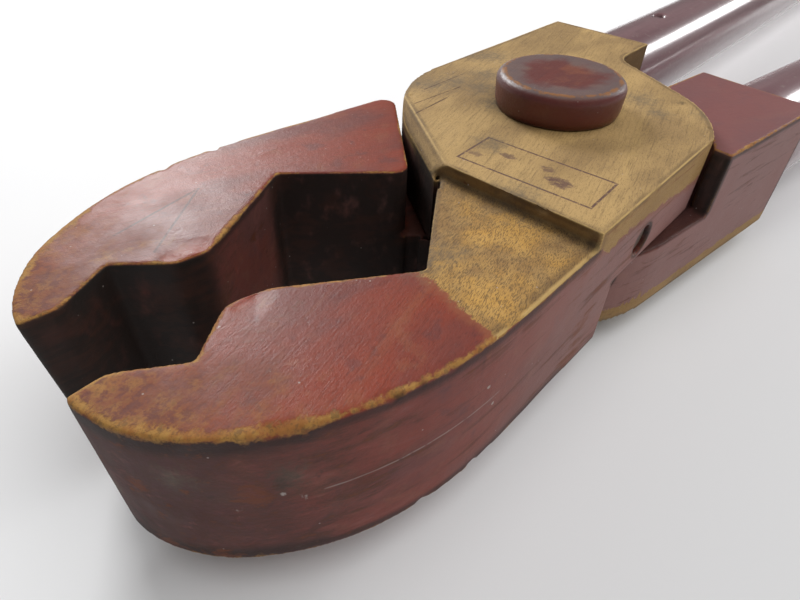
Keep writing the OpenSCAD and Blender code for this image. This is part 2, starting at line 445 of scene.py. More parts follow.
def step_shade_and_dirt(p):
    """Painted shade, with some dirt, at the foot of the cheek's front step, and weaker up the step to its top
    edge.
    """
    foot = np.exp(-np.abs(p[:, 0] - CHEEK_FRONT) / 2.4) * ramp(p[:, 2], 19.0, 19.8)
    return foot * (1 - 0.55 * ramp(p[:, 2], 20.4, 22.0)) * (p[:, 0] > CHEEK_FRONT - 0.4)


def store_masks(mesh, edges, widths):
    """Wear, bare wood, painted shade with dirt, and stains for each vertex, for the material to break up."""
    p, n = points_of(mesh), normals_of(mesh)
    store(mesh, "lev", p)
    store(mesh, "rim", nearest_wear(p, edges, widths))
    store(mesh, "bare", np.clip(bare_distance(p), -30, 30))
    # Painted shade, with some dirt, in the recesses
    store(mesh, "recess_shade_dirt", recess_shade_and_dirt(p, n))
    # Painted shade, with some dirt, at the step's foot
    store(mesh, "foot", step_shade_and_dirt(p))
    store(mesh, "upright", 1 - np.abs(n[:, 2]))
    for name, spots in STAINS.items():
        store(mesh, name, stain_field(p, spots))


def build_lever(key, material):
    place_matrix = SIDES[key]
    node = key + "_lever"
    obj, edges, widths = worn_lever_mesh(
        key + "_lever_wood", frame["nodes"][node], place_matrix.inverted())
    p, n = points_of(obj.data), normals_of(obj.data)
    swell = (waves(p, 26, 1) - 1) * 0.10 + (waves(p, 6, 2) - 1) * 0.03
    p = press_dents(p + n * swell[:, None], n)
    lean, foot = TIP_LEAN[key]
    p[:, 0] -= lean * ramp(p[:, 0], *TIP_LEAN_X) * (0.5 + foot * p[:, 2] / (2 * HALF_THICK))
    set_points(obj.data, p)
    store_masks(obj.data, edges, widths)
    obj.data.shade_smooth()
    obj.data.materials.clear()
    obj.data.materials.append(material)
    return place(obj, place_matrix, BODIES[key], "painted_beech", node)


# ---------------------------------------------------------------- turned pieces

def lathe(name, profile, segments=96):
    """A closed turned shape round Z, from (radius, height) points going outside from bottom to top."""
    bm = bmesh.new()
    rings = []
    for radius, height in profile:
        if radius < 1e-6:
            rings.append([bm.verts.new((0, 0, height))])
        else:
            angles = [2 * math.pi * i / segments for i in range(segments)]
            places = [(radius * math.cos(a), radius * math.sin(a), height) for a in angles]
            rings.append([bm.verts.new(at) for at in places])
    for low, high in zip(rings, rings[1:]):
        for i in range(segments):
            after = i + 1
            corners = [low[i % len(low)], low[after % len(low)], high[after % len(high)], high[i % len(high)]]
            corners = list(dict.fromkeys(corners))
            if len(corners) > 2:
                bm.faces.new(corners)
    if rings[0][0] is not rings[-1][0] and len(rings[0]) > 1 and len(rings[-1]) > 1:
        first, last = rings[0], rings[-1]
        for i in range(segments):
            after = (i + 1) % segments
            bm.faces.new([last[i], last[after], first[after], first[i]])
    bmesh.ops.recalc_face_normals(bm, faces=bm.faces)
    mesh = bpy.data.meshes.new(name)
    bm.to_mesh(mesh)
    bm.free()
    mesh.shade_smooth()
    return new_object(name, mesh)


def round_corner(radius, height, size, start, end, steps=6):
    """Points round a corner of a profile, whose centre is at (radius, height)."""
    return [(radius + size * math.cos(math.radians(start + (end - start) * i / steps)),
             height + size * math.sin(math.radians(start + (end - start) * i / steps)))
            for i in range(steps + 1)]


def spaced(a, b, count):
    """Points on the straight line from a to b, without its ends."""
    return [(a[0] + (b[0] - a[0]) * i / count, a[1] + (b[1] - a[1]) * i / count) for i in range(1, count)]


def finish_turned(obj, material, rims=()):
    """Keeps the turned piece's own coordinates in millimetres, and how near each point is to a rim."""
    p, n = points_of(obj.data), normals_of(obj.data)
    store(obj.data, "lev", p)
    store(obj.data, "face", np.abs(n[:, 2]))
    near = np.full(len(p), -1.0)
    for radius, height, width in rims:
        far = np.hypot(np.hypot(p[:, 0], p[:, 1]) - radius, p[:, 2] - height)
        near = np.maximum(near, 1 - far / width)
    store(obj.data, "rim", near)
    obj.data.materials.clear()
    obj.data.materials.append(material)
    return obj


def wobble_in(obj, size, depth, seed):
    """A gentle unevenness that only ever moves the surface inwards."""
    p, n = points_of(obj.data), normals_of(obj.data)
    set_points(obj.data, p + n * ((waves(p, size, seed) - 1) * depth)[:, None])


def build_pivot(material):
    """The turned pivot: worn head, long shank through both levers and a thinner foot."""
    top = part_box("pivot_pin")[1].z / MM
    seat, edge = LOWER_HEAD_HEIGHT, UPPER_HEAD_ROUND
    cheek_top = top - UPPER_HEAD_HEIGHT
    rim = round_corner(HEAD_R - edge, top - edge, edge, 0, 90, 8)
    profile = [(0, 0), (FOOT_R, 0), (FOOT_R, seat), (SHANK_R, seat), (SHANK_R, cheek_top + 0.1)]
    profile += [(HEAD_R - 0.9, cheek_top + 0.1)] + spaced((HEAD_R - 0.35, cheek_top + 0.9), rim[0], 5)
    profile += rim + spaced(rim[-1], (0, top - 0.35), 9) + [(0, top - 0.35)]
    obj = lathe("pivot_turning", profile)
    wobble_in(obj, 9, 0.14, 5)
    finish_turned(obj, material, [(HEAD_R - 2.2, top - 0.4, 1.2)])
    return place(obj, Matrix.Scale(MM, 4), "upper_half", "painted_beech", "pivot_pin")


def build_lower_head(material):
    """The round head pushed on the pivot's foot from below."""
    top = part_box("lower_pivot_head")[1].z / MM
    edge, ease = LOWER_HEAD_ROUND, 0.6
    profile = [(FOOT_HOLE_R, 0)] + spaced((FOOT_HOLE_R, 0), (HEAD_R - edge, 0), 5)
    profile += round_corner(HEAD_R - edge, edge, edge, -90, 0, 8)
    profile += spaced((HEAD_R, edge), (HEAD_R, top - ease), 4)
    profile += round_corner(HEAD_R - ease, top - ease, ease, 0, 90, 3) + [(FOOT_HOLE_R, top)]
    obj = lathe("lower_head_turning", profile)
    finish_turned(obj, material, [(HEAD_R - 0.8, 0.6, 1.5)])
    return place(obj, Matrix.Scale(MM, 4), "upper_half", "painted_beech", "lower_pivot_head")


def rod(name, radius, length, edge):
    """A peg along Z, centred, with softened and slightly domed ends."""
    half = length / 2
    dome = edge * 0.6
    end = round_corner(radius - edge, half - dome - edge, edge, 0, 90, 4)
    top = end + [(radius * 0.5, half - dome * 0.25), (0, half)]
    side = spaced((radius, -(half - dome - edge)), (radius, half - dome - edge), 6)
    bottom = [(r, -z) for r, z in reversed(top)]
    return lathe(name, bottom + side + top, 48)


def build_pegs(material):
    """Dowels across the hubs, pins through the tubes and the peg in the lower head."""
    across = Matrix.Rotation(math.pi / 2, 4, "X")
    for key, matrix in SIDES.items():
        low = -math.sqrt(HUB_ARM_R ** 2 - DOWEL_X ** 2) + DOWEL_SUNK
        high = BACK_Y - DOWEL_SUNK
        dowel = finish_turned(rod(key + "_dowel", DOWEL_R, high - low, 0.35), material)
        move = Matrix.Translation((DOWEL_X, (low + high) / 2, DOWEL_Z))
        place(dowel, matrix @ move @ across, BODIES[key], "bare_beech", key + "_hub_dowel")
        pin = finish_turned(rod(key + "_tube_pin", TUBE_PIN_R, TUBE_PIN_LENGTH, 0.4), material)
        move = Matrix.Translation((-TUBE_PIN_X, -TUBE_Y, 0))
        place(pin, matrix @ move, BODIES[key], "bare_beech", key + "_handle_pin")
    peg = finish_turned(rod("head_peg", HEAD_PEG_R, HEAD_PEG_LENGTH, 0.3), material)
    move = Matrix.Translation((0, 0, LOWER_HEAD_HEIGHT / 2))
    place(peg, Matrix.Scale(MM, 4) @ move @ across, "upper_half", "bare_beech", "lower_head_peg")


def along_tube(matrix, x):
    """Turns a piece made along Z so that it runs outwards along the tube from x."""
    return matrix @ Matrix.Translation((x, -TUBE_Y, 0)) @ Matrix.Rotation(-math.pi / 2, 4, "Y")


def build_tube(key, material):
    """A long hollow tube with eased ends and a hole for its pin."""
    outer, inner, ease = TUBE_R, TUBE_BORE_R, 0.7
    wall = [(inner, ease), (inner + ease * 0.6, 0), (outer - ease, 0)]
    start = wall + round_corner(outer - ease, ease, ease, -90, 0, 4)[1:]
    end = [(r, TUBE_LENGTH - z) for r, z in reversed(start)]
    profile = start + spaced(start[-1], end[0], 40) + end
    obj = lathe(key + "_tube", profile)
    wobble_in(obj, 60, 0.1, 7)
    hole = rod("hole", TUBE_PIN_R + 0.05, 60, 0.3)
    move = Matrix.Translation((0, 0, TUBE_PIN_X - ARM_END))
    hole.data.transform(move @ Matrix.Rotation(math.pi / 2, 4, "Y"))
    cut = obj.modifiers.new("hole", "BOOLEAN")
    cut.operation = "DIFFERENCE"
    cut.object = hole
    cut.solver = "EXACT"
    bake_modifiers(obj)
    bpy.data.objects.remove(hole)
    finish_turned(obj, material)
    return place(obj, along_tube(SIDES[key], -ARM_END), BODIES[key], "varnished_tube", key + "_handle_tube")


def build_end_plug(key, material):
    """The turned plug that closes the tube's far end."""
    foot, head, edge, ease = -SPIGOT_LENGTH, PLUG_HEAD, PLUG_ROUND, 0.6
    profile = [(0, foot), (SPIGOT_R - ease, foot), (SPIGOT_R, foot + ease), (SPIGOT_R, 0.05)]
    profile += [(TUBE_R - 0.5, 0.05), (TUBE_R - 0.1, 0.5)]
    profile += round_corner(TUBE_R - edge, head - edge, edge, 0, 90, 8)
    profile += spaced((TUBE_R - edge, head), (0, head), 5) + [(0, head - 0.2)]
    obj = lathe(key + "_plug", profile)
    finish_turned(obj, material, [(TUBE_R - 1.0, head - 1.0, 2.0), (TUBE_R, 0.2, 0.7)])
    matrix = along_tube(SIDES[key], -ARM_END - TUBE_LENGTH)
    return place(obj, matrix, BODIES[key], "painted_beech", key + "_end_plug")


# ---------------------------------------------------------------- node graphs

class Graph:
    """A short way to write a material's nodes. Inputs may be sockets, numbers or tuples."""

    def __init__(self, name):
        self.material = bpy.data.materials.new(name)
        self.material.use_nodes = True
        self.tree = self.material.node_tree
        self.tree.nodes.clear()

    def node(self, kind, inputs=(), **settings):
        made = self.tree.nodes.new(kind)
        for key, value in settings.items():
            setattr(made, key, value)
        for key, value in dict(inputs).items():
            self.feed(made.inputs[key], value)
        return made

    def feed(self, socket, value):
        if isinstance(value, bpy.types.NodeSocket):
            self.tree.links.new(value, socket)
        elif isinstance(value, tuple) and len(value) == 3 and socket.type == "RGBA":
            socket.default_value = (*value, 1)
        else:
            socket.default_value = value

    def attribute(self, name, output="Fac"):
        return self.node("ShaderNodeAttribute", attribute_name=name).outputs[output]

    def math(self, operation, a, b=0.0):
        return self.node("ShaderNodeMath", {0: a, 1: b}, operation=operation).outputs[0]

    def add(self, a, b):
        return self.math("ADD", a, b)

    def times(self, a, b):
        return self.math("MULTIPLY", a, b)

    def vector(self, operation, a, b=(0.0, 0.0, 0.0), output="Vector"):
        made = self.node("ShaderNodeVectorMath", {0: a, 1: b}, operation=operation)
        return made.outputs[output]

    def stretched(self, p, x, y, z):
        return self.vector("MULTIPLY", p, (x, y, z))

    def rotated(self, p, turn):
        """Turned about Z by that angle."""
        inputs = {"Vector": p, "Angle": turn}
        return self.node("ShaderNodeVectorRotate", inputs, rotation_type="Z_AXIS").outputs[0]

    def noise(self, p, scale=1.0, detail=2.0, rough=0.5, distortion=0.0):
        inputs = {"Vector": p, "Scale": scale, "Detail": detail, "Roughness": rough, "Distortion": distortion}
        return self.node("ShaderNodeTexNoise", inputs).outputs[0]

    def cells(self, p, scale):
        """Distance to the nearest of many scattered points."""
        return self.node("ShaderNodeTexVoronoi", {"Vector": p, "Scale": scale}).outputs["Distance"]

    def step(self, x, low, high):
        """0 at low, 1 at high, smooth between. High may be the smaller one."""
        inputs = {"Value": x, "From Min": low, "From Max": high}
        return self.node("ShaderNodeMapRange", inputs, interpolation_type="SMOOTHSTEP").outputs[0]

    def mix(self, factor, a, b):
        made = self.node("ShaderNodeMix", data_type="RGBA")
        for name, value in (("Factor_Float", factor), ("A_Color", a), ("B_Color", b)):
            socket = next(s for s in made.inputs if s.identifier == name)
            self.feed(socket, value)
        return next(s for s in made.outputs if s.identifier == "Result_Color")

    def either(self, a, b):
        return self.math("MAXIMUM", a, b)

    def invert(self, a):
        return self.math("SUBTRACT", 1.0, a)

    def blot(self, p, centre, radius, ragged=0.35):
        """A soft spot round a point, with a ragged border."""
        off = self.vector("LENGTH", self.vector("SUBTRACT", p, centre), output="Value")
        uneven = self.noise(p, 1.6 / radius, 3.0)
        size = self.add(off, self.times(self.add(uneven, -0.5), radius * ragged * 4))
        return self.step(size, radius, radius * 0.55)

    def scratch(self, p, start, end, width):
        """A thin line between two points."""
        a, b = Vector(start), Vector(end)
        along = self.node("ShaderNodeVectorMath", {0: self.vector("SUBTRACT", p, tuple(a)), 1: tuple(b - a)},
                          operation="DOT_PRODUCT").outputs["Value"]
        t = self.node("ShaderNodeMapRange", {"Value": along, "From Max": (b - a).length_squared}).outputs[0]
        foot = self.node("ShaderNodeVectorMath", {0: tuple(b - a), 3: t}, operation="SCALE")
        off = self.vector("SUBTRACT", self.vector("SUBTRACT", p, tuple(a)), foot.outputs["Vector"])
        far = self.vector("LENGTH", off, output="Value")
        return self.step(far, width, width * 0.4)

    def bump(self, height, distance, strength=1.0, normal=None):
        inputs = {"Height": height, "Distance": distance, "Strength": strength}
        if normal:
            inputs["Normal"] = normal
        return self.node("ShaderNodeBump", inputs).outputs[0]

    def surface(self, color, roughness, normal, **fixed):
        shader = self.node("ShaderNodeBsdfPrincipled",
                           {"Base Color": color, "Roughness": roughness, "Normal": normal})
        for name, value in fixed.items():
            words = name.replace("_", " ").title().replace("Ior", "IOR")
            self.feed(shader.inputs[words], value)
        out = self.node("ShaderNodeOutputMaterial")
        self.tree.links.new(shader.outputs[0], out.inputs["Surface"])
        return self.material


# ---------------------------------------------------------------- colours, linear

CRIMSON = (0.222, 0.038, 0.018)
PURPLE = (0.156, 0.039, 0.029)
PLUM = (0.088, 0.033, 0.035)
RUST = (0.240, 0.080, 0.038)
MAROON_DARK = (0.055, 0.017, 0.014)
SIDE_BROWN = (0.034, 0.020, 0.015)
SIDE_BLACK = (0.014, 0.010, 0.009)
SIDE_RED = (0.210, 0.080, 0.068)
DUSTY_PLUM = (0.190, 0.095, 0.098)
DUSTY_PINK = (0.290, 0.165, 0.145)
SIDE_ORANGE = (0.175, 0.045, 0.013)
OCHRE = (0.490, 0.270, 0.064)
OCHRE_PALE = (0.520, 0.345, 0.130)
OCHRE_BROWN = (0.270, 0.155, 0.056)
CHEEK_TAN = (0.440, 0.288, 0.118)
CHEEK_DIM = (0.290, 0.185, 0.078)
CHEEK_GREY = (0.115, 0.090, 0.064)
STEP_BROWN = (0.290, 0.160, 0.050)
FLECK = (0.095, 0.056, 0.028)
# Near-black colours: real dirt in the dark stains, and painted shade, with some dirt, in the recesses and at
# the step's foot
SHADE_AND_DIRT = (0.018, 0.014, 0.012)
RED_SHADE_AND_DIRT = (0.040, 0.019, 0.014)
DUST = (0.360, 0.310, 0.280)
ORANGE = (0.300, 0.125, 0.034)
WORN_OCHRE = (0.370, 0.195, 0.052)
WORN_DARK = (0.120, 0.066, 0.030)
INK = (0.070, 0.028, 0.038)
TUBE_PAINT = (0.140, 0.055, 0.064)
TUBE_LIGHT = (0.200, 0.100, 0.108)
# Grey of smudges, with a painted sheen, for the heads' tops
HEAD_SMUDGE_SHEEN = (0.135, 0.112, 0.108)
HEAD_SIDE = (0.075, 0.018, 0.020)
PEG_BROWN = (0.100, 0.055, 0.030)
PEG_DARK = (0.045, 0.026, 0.018)
FLOOR_COOL = (0.770, 0.770, 0.780)
FLOOR_PALE = (0.790, 0.790, 0.790)

# The printed frame on the cheek: middle, half sizes and turn
STAMP_AT = (38.7, 17.1)
STAMP_HALF = (7.4, 18.5)
STAMP_TURN = math.radians(-2.8)

# Smudges of ink inside the frame: middle, radius and strength
SMUDGES = [((1.6, 4.6), 2.6, 0.9), ((-2.4, 1.2), 1.5, 0.7), ((-1.6, -5.4), 1.7, 0.8), ((3.0, -9.6), 1.5, 0.6)]


def ray_scratch(start, length, turn, z, width):
    """A straight dark scratch on a flat face."""
    end = (start[0] + length * math.cos(turn), start[1] + length * math.sin(turn), z)
    return ((*start, z), end, width, False)


def wall_scratch(start, end, z, width, pieces):
    """A light scratch along the outer wall, in straight pieces that follow its curve."""
    stops = [start + (end - start) * i / pieces for i in range(pieces + 1)]
    return [(on_wall(a, z), on_wall(b, z), width, True) for a, b in zip(stops, stops[1:])]


# Scratches: start, end, width and whether they are light. Two meet in a point on the turned-over jaw.
SCRATCH_POINT = (JAW_REACH * 0.69, BACK_Y * 0.58)
SCRATCHES = [
    ray_scratch(SCRATCH_POINT, TIP_LENGTH + 2, math.radians(-18), UNDER, 0.46),
    ray_scratch(SCRATCH_POINT, TIP_LENGTH + 4, math.radians(-45), UNDER, 0.42),
    ray_scratch((DOWEL_X - 3, -36), 20, math.radians(180), CHEEK, 0.30),
    ray_scratch((DOWEL_X + 8, -31), 21, math.radians(176), CHEEK, 0.34),
    ray_scratch((DOWEL_X + 15, -26), 18, math.radians(183), CHEEK, 0.40),
] + wall_scratch(CURVE_START + 2, TOOTH_X + 10, 1, 0.30, 3)


def wood_grain(g, p):
    """Lengthwise grain: broad bands, fine streaks and short dark flecks."""
    along = g.rotated(p, GRAIN_TURN)
    broad = g.noise(g.stretched(along, 0.012, 0.14, 0.14), 1.0, 4.0, 0.6, 0.5)
    fine = g.noise(g.stretched(along, 0.10, 1.5, 1.5), 1.0, 5.0, 0.7, 0.5)
    flecks = g.noise(g.stretched(along, 1.0, 5.0, 5.0), 1.0, 2.0, 0.6, 0.2)
    return broad, fine, flecks


def cheek_color(g, p, broad, fine, flecks):
    """Smooth, handled beech: tan with soft clouds and faint short pores."""
    cloud = g.noise(g.stretched(p, 0.03, 0.055, 0.055), 1.0, 3.0, 0.55)
    color = g.mix(g.step(cloud, 0.36, 0.66), CHEEK_TAN, CHEEK_DIM)
    color = g.mix(g.times(g.step(broad, 0.50, 0.30), 0.25), color, OCHRE_PALE)
    color = g.mix(g.times(g.step(fine, 0.46, 0.72), 0.45), color, FLECK)
    return g.mix(g.times(g.step(flecks, 0.53, 0.66), 0.42), color, FLECK)


def ramp_color(g, p, medium, fine, flecks):
    """Rasped beech in front of the step: ochre with dense, short dark flecks."""
    cloud = g.noise(p, 0.07, 3.0, 0.6)
    color = g.mix(g.step(cloud, 0.34, 0.62), OCHRE, OCHRE_BROWN)
    color = g.mix(g.times(g.step(medium, 0.60, 0.40), 0.20), color, OCHRE_PALE)
    color = g.mix(g.times(g.step(fine, 0.48, 0.72), 0.25), color, FLECK)
    return g.mix(g.times(g.step(flecks, 0.48, 0.60), 0.72), color, FLECK)


def stamp_ink(g, p):
    """A thin printed frame with a few smudges inside, all rubbed."""
    flat = g.rotated(g.vector("SUBTRACT", p, (*STAMP_AT, 0.0)), STAMP_TURN)
    axis = g.node("ShaderNodeSeparateXYZ", {0: flat}).outputs
    x, y = g.math("ABSOLUTE", axis[0]), g.math("ABSOLUTE", axis[1])
    off = g.either(g.add(x, -STAMP_HALF[0]), g.add(y, -STAMP_HALF[1]))
    ink = g.step(g.math("ABSOLUTE", off), 0.42, 0.20)
    flat = g.stretched(flat, 1, 0.6, 0)
    for centre, radius, strength in SMUDGES:
        ink = g.either(ink, g.times(g.blot(flat, (*centre, 0), radius), strength))
    rubbed = g.step(g.noise(p, 0.9, 4.0, 0.7), 0.28, 0.52)
    on_top = g.step(g.node("ShaderNodeSeparateXYZ", {0: p}).outputs[2], CHEEK - 1.0, CHEEK - 0.6)
    return g.times(g.times(ink, on_top), rubbed)


def paint_color(g, p, broad, fine):
    """Thin old paint: crimson drifting to purple, with rusty and plum patches along the grain."""
    tone = g.noise(g.stretched(p, 0.022, 0.05, 0.05), 1.0, 3.0)
    medium = g.noise(p, 0.16, 4.0, 0.65)
    color = g.mix(g.step(tone, 0.40, 0.60), CRIMSON, PURPLE)
    color = g.mix(g.times(g.step(broad, 0.55, 0.72), 0.45), color, RUST)
    color = g.mix(g.times(g.step(medium, 0.54, 0.68), 0.40), color, RUST)
    color = g.mix(g.times(g.step(medium, 0.44, 0.30), 0.45), color, PLUM)
    return g.mix(g.times(g.step(fine, 0.48, 0.76), 0.32), color, MAROON_DARK)


class LeverFields:
    """What the lever's vertices store, and the noises and masks that its colours share."""

    def __init__(self, g):
        self.g = g
        self.p = g.attribute("lev", "Vector")
        axis = g.node("ShaderNodeSeparateXYZ", {0: self.p}).outputs
        self.x, self.z = axis[0], axis[2]
        self.rim = g.attribute("rim")
        self.upright = g.attribute("upright")
        self.broad, self.fine, self.flecks = wood_grain(g, self.p)
        self.patchy = g.noise(self.p, 0.10, 3.0, 0.6)
        self.medium = g.noise(self.p, 0.24, 4.0, 0.65)
        self.coarse = g.noise(self.p, 0.55, 4.0, 0.70)
        self.grit = g.noise(self.p, 2.0, 3.0, 0.7)
        self.streak = g.noise(g.stretched(self.p, 0.03, 0.20, 0.34), 1.0, 5.0, 0.66, 0.5)
        self.fibre = g.noise(g.stretched(g.rotated(self.p, GRAIN_TURN), 0.45, 2.0, 2.0), 1.0, 4.0, 0.7)
        self.loose = g.add(g.times(g.add(self.coarse, -0.5), 1.5), g.times(g.add(self.fibre, -0.5), 0.6))
        self.side = g.step(self.upright, 0.5, 0.9)
        self.flat = g.invert(self.side)
        self.tip = g.step(g.add(self.x, g.times(g.add(self.patchy, -0.5), 46.0)), TOOTH_X, 152.0)
        reach = g.add(self.rim, g.times(g.add(self.patchy, -0.55), 1.6))
        self.worn = self.broken(g.add(reach, g.times(self.upright, -0.30)), 0.15, 0.55)
        uneven = g.add(g.times(g.add(self.patchy, -0.5), 3.6), g.times(self.loose, 2.8))
        self.border = g.add(g.attribute("bare"), uneven)
        self.unpainted = g.step(self.border, -0.4, 0.5)

    def broken(self, value, low, high):
        """A stain or wear mask with a ragged border."""
        return self.g.step(self.g.add(value, self.g.times(self.loose, 0.8)), low, high)


def worn_wood_color(g, f):
    """Bare wood showing through where the paint has worn off: ochre with dark grit."""
    color = g.mix(g.step(f.medium, 0.40, 0.60), ORANGE, WORN_OCHRE)
    color = g.mix(g.times(g.step(f.coarse, 0.54, 0.64), 0.55), color, WORN_DARK)
    return g.mix(g.times(g.step(f.grit, 0.52, 0.66), 0.45), color, WORN_DARK)


def side_paint(g, f, color):
    """Side walls: dusty behind the hub, darker towards the tip, with lengthwise streaks."""
    color = g.mix(g.times(f.side, 0.22), color, DUSTY_PLUM)
    dusty = g.times(f.side, g.step(f.x, 112.0, 40.0))
    color = g.mix(g.times(dusty, 0.58), color, DUSTY_PINK)
    uneven = g.add(g.times(g.add(f.streak, -0.5), 90.0), g.times(g.add(f.coarse, -0.5), 24.0))
    toward_tip = g.step(g.add(f.x, uneven), 98.0, 146.0)
    color = g.mix(g.times(g.times(f.side, toward_tip), 0.66), color, SIDE_BROWN)
    color = g.mix(g.times(g.times(f.side, g.step(f.streak, 0.54, 0.70)), 0.55), color, SIDE_BLACK)
    return g.mix(g.times(g.times(f.side, g.step(f.streak, 0.42, 0.30)), 0.40), color, SIDE_RED)


def lever_paint(g, f, worn_color):
    """Paint, dusty on the arm, and thin and mottled towards the tip."""
    color = paint_color(g, f.p, f.broad, f.fine)
    color = g.mix(g.times(g.step(f.flecks, 0.52, 0.68), 0.34), color, MAROON_DARK)
    color = g.mix(g.times(g.step(f.x, 20.0, -30.0), 0.68), color, DUSTY_PLUM)
    color = side_paint(g, f, color)
    mottled = g.step(g.add(f.medium, g.times(f.loose, 0.22)), 0.44, 0.70)
    thin = g.times(g.times(f.tip, mottled), f.flat)
    color = g.mix(g.times(g.times(f.tip, f.flat), 0.30), color, ORANGE)
    color = g.mix(g.times(thin, 0.46), color, worn_color)
    return g.mix(g.times(g.times(f.tip, g.step(f.coarse, 0.56, 0.38)), 0.60), color, PLUM)


def bare_wood(g, f):
    """Unpainted wood: the handled cheek with its printed frame, and the rasped ramp before it."""
    in_front = g.times(g.step(f.x, CHEEK_FRONT - 0.5, CHEEK_FRONT + 0.3), g.step(f.z, 20.9, 20.3))
    cheek = cheek_color(g, f.p, f.broad, f.fine, f.flecks)
    color = g.mix(in_front, cheek, ramp_color(g, f.p, f.medium, f.fine, f.flecks))
    color = g.mix(g.times(f.side, 0.6), color, STEP_BROWN)
    return g.mix(g.times(stamp_ink(g, f.p), 0.85), color, INK)


def worn_edges(g, f, paint, wood, worn_color):
    """Paint and wood side by side, with worn rims on the paint and painted shade on the side walls under
    them, and handled edges on the wood, whose pale line is partly a painted highlight.
    """
    fringe = g.times(g.step(f.border, -3.2, -0.2), g.invert(f.unpainted))
    color = g.mix(g.times(fringe, 0.65), paint, RUST)
    # Painted shade on the side walls just under the worn rims
    shade = g.times(g.step(f.rim, -0.9, 0.1), f.side)
    color = g.mix(g.times(shade, 0.7), color, SIDE_BLACK)
    color = g.mix(f.worn, color, worn_color)
    color = g.mix(f.unpainted, color, wood)
    # Pale line along the bare wood's rims: handled wear and a painted highlight, with a darker line beside it
    worn_rim_highlight = g.times(g.step(f.rim, 0.35, 0.75), f.unpainted)
    dark_rim_line = g.times(g.times(g.step(f.rim, -0.85, 0.0), g.invert(worn_rim_highlight)), f.unpainted)
    color = g.mix(g.times(g.times(dark_rim_line, g.step(f.patchy, 0.30, 0.60)), 0.50), color, FLECK)
    handled = g.step(g.add(f.patchy, g.times(f.fibre, 0.4)), 0.50, 0.75)
    return g.mix(g.times(worn_rim_highlight, handled), color, OCHRE_PALE)


def stained(g, f, color, worn_color):
    """The stains that the vertices store, with ragged borders, and the painted shade at the dowel."""
    color = g.mix(g.times(f.broken(g.attribute("grey"), 0.08, 0.95), 0.78), color, CHEEK_GREY)
    streaked = g.add(g.attribute("orange"), g.times(g.times(g.add(f.streak, -0.5), f.side), 4.0))
    stain = g.mix(f.side, worn_color, SIDE_ORANGE)
    color = g.mix(g.times(f.broken(streaked, 0.25, 0.95), 0.70), color, stain)
    return g.mix(g.times(f.broken(g.attribute("dark"), 0.2, 0.9), 0.75), color, SHADE_AND_DIRT)


def shaded_and_dirty(g, f, color):
    """Painted shade, with some dirt, at the foot of the step, and deep painted shade with dirt in the mouths
    and the lap.
    """
    # Painted shade, with some dirt, at the foot of the step
    color = g.mix(g.times(g.attribute("foot"), g.add(g.times(f.medium, 0.7), 0.30)), color, SHADE_AND_DIRT)
    # Dark painted shade, with some dirt, in the mouths, the lap, the pocket and on the arm's inner wall
    reddish = g.step(g.add(g.times(f.patchy, 0.5), g.times(f.streak, 0.5)), 0.46, 0.60)
    deep = g.mix(g.times(reddish, 0.9), SHADE_AND_DIRT, RED_SHADE_AND_DIRT)
    cover = g.step(g.noise(g.stretched(f.p, 0.05, 0.3, 0.12), 1.0, 3.0, 0.6), 0.05, 0.5)
    return g.mix(g.times(g.times(g.attribute("recess_shade_dirt"), cover), 0.95), color, deep)


def scratched(g, f, color):
    """Scratches, with gaps, and pale specks of lint and dust."""
    for start, end, width, light in SCRATCHES:
        line = g.times(g.scratch(f.p, start, end, width), g.step(f.coarse, 0.24, 0.54))
        color = g.mix(g.times(line, 0.50 if light else 0.86), color, DUST if light else MAROON_DARK)
    specks = g.step(g.cells(f.p, 0.23), 0.055, 0.030)
    pale = g.either(g.times(specks, 0.7), f.broken(g.attribute("pale"), 0.3, 0.6))
    return g.mix(pale, color, DUST)


def lever_material():
    g = Graph("painted_beech_lever")
    f = LeverFields(g)
    worn_color = worn_wood_color(g, f)
    color = worn_edges(g, f, lever_paint(g, f, worn_color), bare_wood(g, f), worn_color)
    color = scratched(g, f, shaded_and_dirty(g, f, stained(g, f, color, worn_color)))

    shine = g.add(g.times(g.noise(f.p, 0.12, 3.0), 0.20), 0.32)
    dull = g.either(g.either(f.unpainted, f.worn), g.either(g.times(f.side, 0.7), f.tip))
    rough = g.add(shine, g.times(dull, 0.30))
    grain = g.add(g.times(f.fine, -0.5), g.times(g.times(f.flecks, f.unpainted), -0.8))
    pits = g.add(g.add(f.coarse, g.times(f.grit, 0.45)), g.times(f.worn, -0.8))
    normal = g.bump(pits, 0.00022, 0.42, g.bump(grain, 0.0002, 0.55))
    return g.surface(color, rough, normal, specular_ior_level=0.34)


def turned_material():
    """Paint on the turned pivot heads and the end plugs, worn along their rims."""
    g = Graph("painted_beech_turned")
    p = g.attribute("lev", "Vector")
    rim, face = g.attribute("rim"), g.attribute("face")
    broad, fine = wood_grain(g, p)[:2]
    coarse = g.noise(p, 0.5, 4.0, 0.65)
    patchy = g.noise(p, 0.11, 3.0, 0.6)
    top = g.step(face, 0.5, 0.9)
    off = g.vector("LENGTH", g.stretched(p, 1, 1, 0), output="Value")
    ring = g.add(off, g.times(g.add(patchy, -0.5), 16.0))
    color = g.mix(0.35, paint_color(g, p, broad, fine), PLUM)
    color = g.mix(g.times(top, g.times(g.step(patchy, 0.48, 0.62), 0.50)), color, RUST)
    # Grey smudges and a painted sheen on the outer part of the top
    color = g.mix(g.times(top, g.times(g.step(ring, 8.0, 14.5), 0.70)), color, HEAD_SMUDGE_SHEEN)
    color = g.mix(g.times(g.invert(top), 0.45), color, HEAD_SIDE)
    worn = g.step(g.add(rim, g.times(g.add(coarse, -0.5), 2.4)), 0.35, 0.80)
    color = g.mix(g.times(worn, 0.75), color, ORANGE)
    specks = g.step(g.cells(p, 0.35), 0.06, 0.03)
    color = g.mix(g.times(specks, 0.8), color, DUST)
    rough = g.add(g.times(coarse, 0.25), 0.24)
    normal = g.bump(g.add(fine, coarse), 0.00025, 0.45)
    return g.surface(color, rough, normal)


